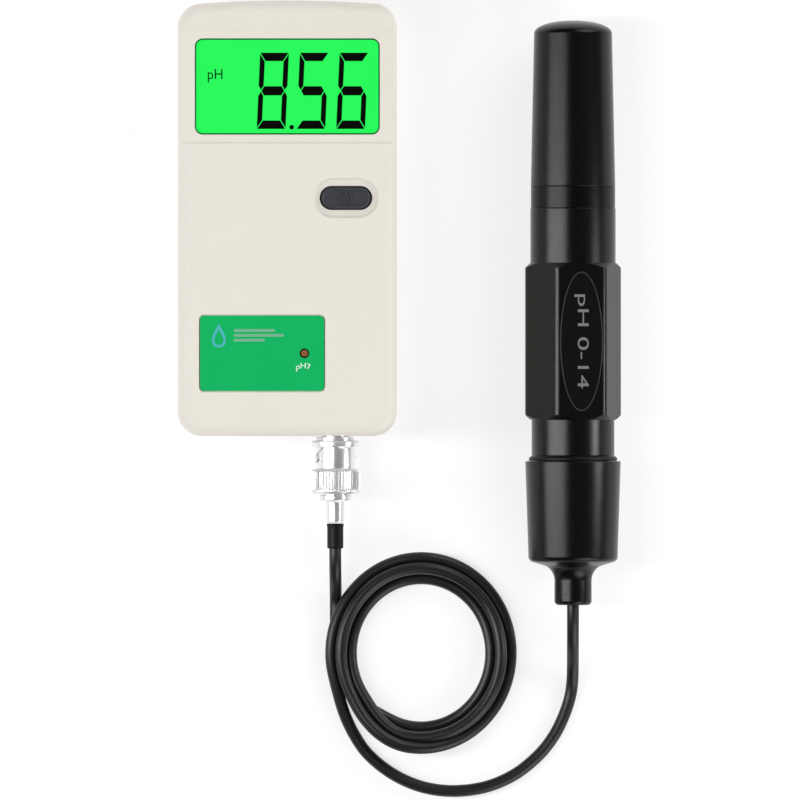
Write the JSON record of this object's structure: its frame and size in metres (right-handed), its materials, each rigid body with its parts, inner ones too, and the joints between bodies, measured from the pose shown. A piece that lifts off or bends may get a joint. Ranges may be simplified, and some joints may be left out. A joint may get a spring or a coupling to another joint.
{
  "type": "ph meter",
  "caption": "Handheld pH meter lying on its back, with a lit display, a bayonet cable connector and a capped combination electrode on a coiled coaxial cable.",
  "frame": {"origin": "centre of the meter's back face, which rests on the table", "axes": "+Z out of the display, +Y from the cable jack towards the display end, +X towards the electrode"},
  "size_m": [0.1287, 0.2309, 0.03],
  "materials": {
    "ivory_plastic": "fine satin moulded plastic",
    "window_plastic": "clear polished window",
    "lcd_green": "lit green display glass",
    "light_block": "frosted light block",
    "zebra_rubber": "striped contact rubber",
    "board_green": "green solder mask",
    "chip_black": "moulded chip case",
    "capacitor_sleeve": "shrunk sleeve",
    "slate_rubber": "matt slate rubber",
    "switch_black": "moulded switch case",
    "trimmer_blue": "blue moulded case",
    "copper": "bright copper-coloured screw",
    "label_green": "printed green label",
    "nickel": "bright nickel plating",
    "white_insulator": "white insulator",
    "gold_contact": "gold plated",
    "battery_jacket": "printed steel jacket",
    "snap_black": "moulded snap",
    "lead_red": "red insulation",
    "lead_black": "black insulation",
    "screw_steel": "zinc plated",
    "black_cable": "satin cable jacket",
    "black_plastic": "fine grained black plastic",
    "black_gloss": "polished black",
    "black_rubber": "matt rubber",
    "panel_grey": "satin dark panel",
    "clear_glass": "clear glass",
    "white_ceramic": "porous white ceramic",
    "silver": "silver wire",
    "sponge_foam": "open foam"
  },
  "bodies": {
    "meter": {"front_case": "ivory_plastic", "back_case": "ivory_plastic", "display_window": "window_plastic", "lcd_glass": "lcd_green", "lcd_backlight": "light_block", "zebra_strip": "zebra_rubber", "main_board": "board_green", "controller_chip": "chip_black", "amplifier_chip": "chip_black", "capacitor": "capacitor_sleeve", "tact_switch": "switch_black", "trimmer_body": "trimmer_blue", "label_plate": "label_green", "bnc_jack": "nickel", "jack_insulator": "white_insulator", "jack_contact": "gold_contact", "jack_washer": "nickel", "jack_nut": "nickel", "battery": "battery_jacket", "battery_snap": "snap_black", "battery_lead_red": "lead_red", "battery_lead_black": "lead_black", "signal_lead": "lead_black", "case_screw_1": "screw_steel", "board_screw_1": "screw_steel", "case_screw_2": "screw_steel", "board_screw_2": "screw_steel", "case_screw_3": "screw_steel", "board_screw_3": "screw_steel", "case_screw_4": "screw_steel", "board_screw_4": "screw_steel"},
    "power_button": {"power_button": "slate_rubber", "tact_plunger": "switch_black"},
    "trimmer_screw": {"trimmer_screw": "copper"},
    "battery_door": {"battery_door": "ivory_plastic"},
    "probe": {"plug_body": "nickel", "plug_insulator": "white_insulator", "plug_pin": "gold_contact", "wave_washer": "nickel", "crimp_ferrule": "nickel", "cable_boot": "black_rubber", "cord_lead": "black_cable", "cord_coil": "black_cable", "cord_tail": "black_cable", "strain_relief": "black_plastic", "sleeve": "black_plastic", "o_ring": "black_rubber", "electrode_body": "black_plastic", "oval_panel": "panel_grey", "seal_band": "black_gloss", "electrode_stem": "black_plastic", "glass_bulb": "clear_glass", "silver_wire": "silver", "reference_junction": "white_ceramic", "stem_stopper": "black_rubber"},
    "bnc_nut": {"bnc_nut": "nickel"},
    "electrode_cap": {"electrode_cap": "black_plastic", "cap_sponge": "sponge_foam"}
  },
  "joints": [
    {"name": "button_press", "type": "slide", "parent": "meter", "child": "power_button", "axis": [0, 0, -1], "range_m": [0, 0.0008], "stiffness_N_per_m": 2000},
    {"name": "trimmer_turn", "type": "hinge", "parent": "meter", "child": "trimmer_screw", "pos_m": [0.00495, -0.0391, 0.0294], "axis": [0, 0, 1], "range_deg": [-130, 130]},
    {"name": "door_slide", "type": "slide", "parent": "meter", "child": "battery_door", "axis": [0, 1, 0], "range_m": [0, 0.04]},
    {"name": "probe_pull", "type": "slide", "parent": "meter", "child": "probe", "axis": [0, -1, 0], "range_m": [0, 0.012]},
    {"name": "nut_turn", "type": "hinge", "parent": "probe", "child": "bnc_nut", "pos_m": [0.01383, -0.07, 0.0095], "axis": [0, -1, 0], "range_deg": [0, 210]},
    {"name": "cap_pull", "type": "slide", "parent": "probe", "child": "electrode_cap", "axis": [0, 1, 0], "range_m": [0, 0.045]}
  ],
  "couplings": [
    {"joint": "nut_turn", "follows": "probe_pull", "rad_per_m": 302.08}
  ]
}
